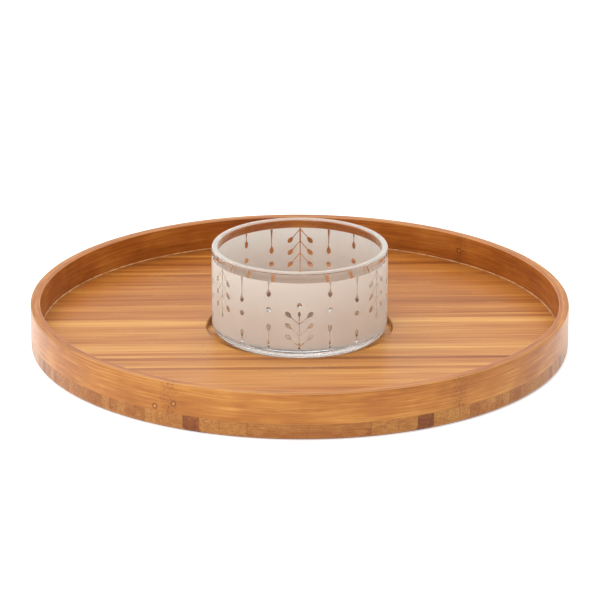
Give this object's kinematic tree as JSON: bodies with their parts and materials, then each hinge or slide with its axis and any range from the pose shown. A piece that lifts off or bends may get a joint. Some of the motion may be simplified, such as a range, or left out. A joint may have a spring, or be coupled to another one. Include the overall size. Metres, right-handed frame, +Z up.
{
  "type": "chip and dip server",
  "caption": "Round bamboo serving tray with a bent-wood rim, laminated strip floor and a loose frosted glass dip bowl in a centre recess.",
  "frame": {"origin": "centre of the tray's flat underside", "axes": "+Z up, +X along the floor's strips, -Y towards the person who faces the side drawn as the front"},
  "size_m": [0.4, 0.4, 0.076],
  "materials": {
    "bamboo_strips": "satin oiled bamboo",
    "bamboo_plies": "satin lacquered bamboo",
    "bowl_glass": "polished, with a frosted band on the outside"
  },
  "bodies": {
    "tray": {"floor_strips_01": "bamboo_strips", "floor_strips_02": "bamboo_strips", "floor_strips_03": "bamboo_strips", "floor_strips_04": "bamboo_strips", "floor_strips_05": "bamboo_strips", "floor_strips_06": "bamboo_strips", "floor_strips_07": "bamboo_strips", "floor_strips_08": "bamboo_strips", "floor_strips_09": "bamboo_strips", "floor_strips_10": "bamboo_strips", "floor_strips_11": "bamboo_strips", "floor_strips_12": "bamboo_strips", "floor_strips_13": "bamboo_strips", "floor_strips_14": "bamboo_strips", "floor_strips_15": "bamboo_strips", "floor_strips_16": "bamboo_strips", "floor_strips_17": "bamboo_strips", "floor_strips_18": "bamboo_strips", "floor_strips_19": "bamboo_strips", "floor_strips_20": "bamboo_strips", "floor_strips_21": "bamboo_strips", "floor_strips_22": "bamboo_strips", "floor_strips_23": "bamboo_strips", "floor_strips_24": "bamboo_strips", "floor_strips_25": "bamboo_strips", "floor_strips_26": "bamboo_strips", "floor_strips_27": "bamboo_strips", "floor_strips_28": "bamboo_strips", "floor_strips_29": "bamboo_strips", "floor_strips_30": "bamboo_strips", "floor_strips_31": "bamboo_strips", "floor_strips_32": "bamboo_strips", "floor_strips_33": "bamboo_strips", "floor_strips_34": "bamboo_strips", "floor_strips_35": "bamboo_strips", "floor_strips_36": "bamboo_strips", "floor_strips_37": "bamboo_strips", "floor_strips_38": "bamboo_strips", "floor_strips_39": "bamboo_strips", "rim_outer_ply": "bamboo_plies", "rim_core_ply": "bamboo_plies", "rim_inner_ply": "bamboo_plies"},
    "bowl": {"dip_bowl": "bowl_glass"}
  },
  "joints": [
    {"name": "bowl_lift", "type": "slide", "parent": "tray", "child": "bowl", "axis": [0, 0, 1], "range_m": [0, 0.1]}
  ]
}
